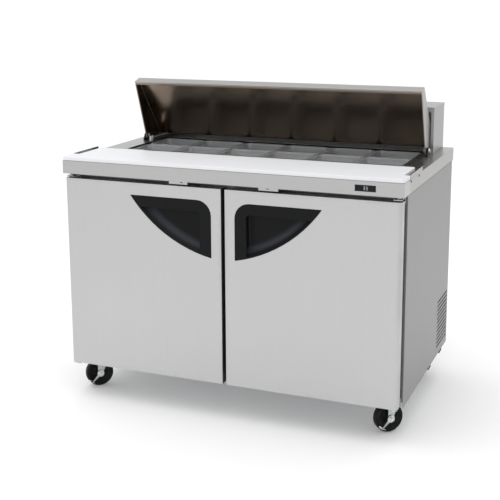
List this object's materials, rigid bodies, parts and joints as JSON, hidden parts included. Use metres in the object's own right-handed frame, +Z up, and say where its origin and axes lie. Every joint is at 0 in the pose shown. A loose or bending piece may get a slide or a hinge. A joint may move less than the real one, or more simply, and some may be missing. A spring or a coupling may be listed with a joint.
{
  "type": "sandwich prep table",
  "caption": "Refrigerated food preparation counter on casters with a hinged lid over lift-out pans, a cutting board, swing doors with recessed handles and a rear hood.",
  "frame": {"origin": "centre of the overall box at floor level, at rest with the lid open and the doors closed", "axes": "+X to the right of a person facing the doors, -Y out of the door fronts towards that person, +Z up"},
  "size_m": [1.226, 0.762, 1.1233],
  "materials": {
    "stainless": "fine brushed",
    "mirror_steel": "bright polished",
    "liner_metal": "satin",
    "board_white": "fine grained polyethylene",
    "clear_plastic": "clear moulded",
    "black_plastic": "fine texture",
    "grey_gasket": "soft matt",
    "black_rubber": "moulded",
    "zinc": "bright zinc plate",
    "galvanised": "galvanised",
    "aluminium_fins": "mill",
    "black_paint": "satin",
    "epoxy_wire": "epoxy coated",
    "display_black": "smoked window"
  },
  "bodies": {
    "cabinet": {"base_plate": "galvanised", "side_panel_left": "stainless", "side_panel_right": "stainless", "back_panel": "galvanised", "rear_grille": "black_paint", "cabinet_liner": "liner_metal", "front_frame": "stainless", "worktop": "stainless", "front_rail": "stainless", "temperature_display": "display_black", "pan_seat_frame": "black_plastic", "rear_hood": "stainless", "lid_pivot_left": "black_plastic", "lid_pivot_right": "black_plastic", "hinge_left_top": "zinc", "hinge_left_bottom": "zinc", "hinge_right_top": "zinc", "hinge_right_bottom": "zinc", "shelf_left": "epoxy_wire", "shelf_right": "epoxy_wire", "evaporator_cover": "liner_metal", "evaporator_coil": "aluminium_fins", "compressor": "black_paint", "condenser_coil": "aluminium_fins", "power_inlet_gland": "black_plastic"},
    "board": {"cutting_board": "board_white"},
    "lid": {"lid_shell": "stainless", "lid_liner": "mirror_steel"},
    "door_left": {"door_left_panel": "stainless", "door_left_liner": "liner_metal", "door_left_gasket": "grey_gasket", "door_left_handle": "black_plastic"},
    "door_right": {"door_right_panel": "stainless", "door_right_liner": "liner_metal", "door_right_gasket": "grey_gasket", "door_right_handle": "black_plastic"},
    "evaporator_rotor": {"evaporator_fan": "black_plastic"},
    "condenser_rotor": {"condenser_fan": "black_plastic"},
    "front_pan_1": {"pan_front_1": "clear_plastic"},
    "front_pan_2": {"pan_front_2": "clear_plastic"},
    "front_pan_3": {"pan_front_3": "clear_plastic"},
    "front_pan_4": {"pan_front_4": "clear_plastic"},
    "front_pan_5": {"pan_front_5": "clear_plastic"},
    "front_pan_6": {"pan_front_6": "clear_plastic"},
    "rear_pan_1": {"pan_rear_1": "clear_plastic"},
    "rear_pan_2": {"pan_rear_2": "clear_plastic"},
    "rear_pan_3": {"pan_rear_3": "clear_plastic"},
    "rear_pan_4": {"pan_rear_4": "clear_plastic"},
    "rear_pan_5": {"pan_rear_5": "clear_plastic"},
    "rear_pan_6": {"pan_rear_6": "clear_plastic"},
    "caster_front_left": {"caster_front_left_fork": "zinc"},
    "wheel_front_left": {"caster_front_left_wheel": "black_rubber"},
    "brake_front_left": {"brake_lever_front_left": "zinc"},
    "caster_front_right": {"caster_front_right_fork": "zinc"},
    "wheel_front_right": {"caster_front_right_wheel": "black_rubber"},
    "brake_front_right": {"brake_lever_front_right": "zinc"},
    "caster_rear_left": {"caster_rear_left_fork": "zinc"},
    "wheel_rear_left": {"caster_rear_left_wheel": "black_rubber"},
    "caster_rear_right": {"caster_rear_right_fork": "zinc"},
    "wheel_rear_right": {"caster_rear_right_wheel": "black_rubber"}
  },
  "joints": [
    {"name": "lid_hinge", "type": "hinge", "parent": "cabinet", "child": "lid", "pos_m": [0, 0.159, 0.892], "axis": [-1, 0, 0], "range_deg": [-70, 0]},
    {"name": "door_left_hinge", "type": "hinge", "parent": "cabinet", "child": "door_left", "pos_m": [-0.59, -0.359, 0.469], "axis": [0, 0, -1], "range_deg": [0, 110]},
    {"name": "door_right_hinge", "type": "hinge", "parent": "cabinet", "child": "door_right", "pos_m": [0.59, -0.359, 0.469], "axis": [0, 0, 1], "range_deg": [0, 110]},
    {"name": "board_lift", "type": "slide", "parent": "cabinet", "child": "board", "axis": [0, 0, 1], "range_m": [0, 0.08]},
    {"name": "front_pan_1_lift", "type": "slide", "parent": "cabinet", "child": "front_pan_1", "axis": [0, 0, 1], "range_m": [0, 0.115]},
    {"name": "front_pan_2_lift", "type": "slide", "parent": "cabinet", "child": "front_pan_2", "axis": [0, 0, 1], "range_m": [0, 0.115]},
    {"name": "front_pan_3_lift", "type": "slide", "parent": "cabinet", "child": "front_pan_3", "axis": [0, 0, 1], "range_m": [0, 0.115]},
    {"name": "front_pan_4_lift", "type": "slide", "parent": "cabinet", "child": "front_pan_4", "axis": [0, 0, 1], "range_m": [0, 0.115]},
    {"name": "front_pan_5_lift", "type": "slide", "parent": "cabinet", "child": "front_pan_5", "axis": [0, 0, 1], "range_m": [0, 0.115]},
    {"name": "front_pan_6_lift", "type": "slide", "parent": "cabinet", "child": "front_pan_6", "axis": [0, 0, 1], "range_m": [0, 0.115]},
    {"name": "rear_pan_1_lift", "type": "slide", "parent": "cabinet", "child": "rear_pan_1", "axis": [0, 0, 1], "range_m": [0, 0.02]},
    {"name": "rear_pan_2_lift", "type": "slide", "parent": "cabinet", "child": "rear_pan_2", "axis": [0, 0, 1], "range_m": [0, 0.02]},
    {"name": "rear_pan_3_lift", "type": "slide", "parent": "cabinet", "child": "rear_pan_3", "axis": [0, 0, 1], "range_m": [0, 0.02]},
    {"name": "rear_pan_4_lift", "type": "slide", "parent": "cabinet", "child": "rear_pan_4", "axis": [0, 0, 1], "range_m": [0, 0.02]},
    {"name": "rear_pan_5_lift", "type": "slide", "parent": "cabinet", "child": "rear_pan_5", "axis": [0, 0, 1], "range_m": [0, 0.02]},
    {"name": "rear_pan_6_lift", "type": "slide", "parent": "cabinet", "child": "rear_pan_6", "axis": [0, 0, 1], "range_m": [0, 0.02]},
    {"name": "caster_front_left_swivel", "type": "hinge", "parent": "cabinet", "child": "caster_front_left", "pos_m": [-0.5557, -0.255, 0.1252], "axis": [0, 0, 1], "continuous": true},
    {"name": "wheel_front_left_spin", "type": "hinge", "parent": "caster_front_left", "child": "wheel_front_left", "pos_m": [-0.56433, -0.26334, 0.051], "axis": [-0.6947, 0.7193, 0], "continuous": true},
    {"name": "brake_front_left_press", "type": "hinge", "parent": "caster_front_left", "child": "brake_front_left", "pos_m": [-0.56433, -0.26334, 0.051], "axis": [-0.6947, 0.7193, 0], "range_deg": [0, 25]},
    {"name": "caster_front_right_swivel", "type": "hinge", "parent": "cabinet", "child": "caster_front_right", "pos_m": [0.5557, -0.255, 0.1252], "axis": [0, 0, 1], "continuous": true},
    {"name": "wheel_front_right_spin", "type": "hinge", "parent": "caster_front_right", "child": "wheel_front_right", "pos_m": [0.54707, -0.26334, 0.051], "axis": [-0.6947, 0.7193, 0], "continuous": true},
    {"name": "brake_front_right_press", "type": "hinge", "parent": "caster_front_right", "child": "brake_front_right", "pos_m": [0.54707, -0.26334, 0.051], "axis": [-0.6947, 0.7193, 0], "range_deg": [0, 25]},
    {"name": "caster_rear_left_swivel", "type": "hinge", "parent": "cabinet", "child": "caster_rear_left", "pos_m": [-0.525, 0.276, 0.1252], "axis": [0, 0, 1], "continuous": true},
    {"name": "wheel_rear_left_spin", "type": "hinge", "parent": "caster_rear_left", "child": "wheel_rear_left", "pos_m": [-0.53363, 0.26766, 0.051], "axis": [-0.6947, 0.7193, 0], "continuous": true},
    {"name": "caster_rear_right_swivel", "type": "hinge", "parent": "cabinet", "child": "caster_rear_right", "pos_m": [0.525, 0.276, 0.1252], "axis": [0, 0, 1], "continuous": true},
    {"name": "wheel_rear_right_spin", "type": "hinge", "parent": "caster_rear_right", "child": "wheel_rear_right", "pos_m": [0.51637, 0.26766, 0.051], "axis": [-0.6947, 0.7193, 0], "continuous": true},
    {"name": "evaporator_fan_spin", "type": "hinge", "parent": "cabinet", "child": "evaporator_rotor", "pos_m": [0.16, 0.257, 0.573], "axis": [0, 1, 0], "continuous": true},
    {"name": "condenser_fan_spin", "type": "hinge", "parent": "cabinet", "child": "condenser_rotor", "pos_m": [0.513, 0.2715, 0.2489], "axis": [1, 0, 0], "continuous": true}
  ]
}
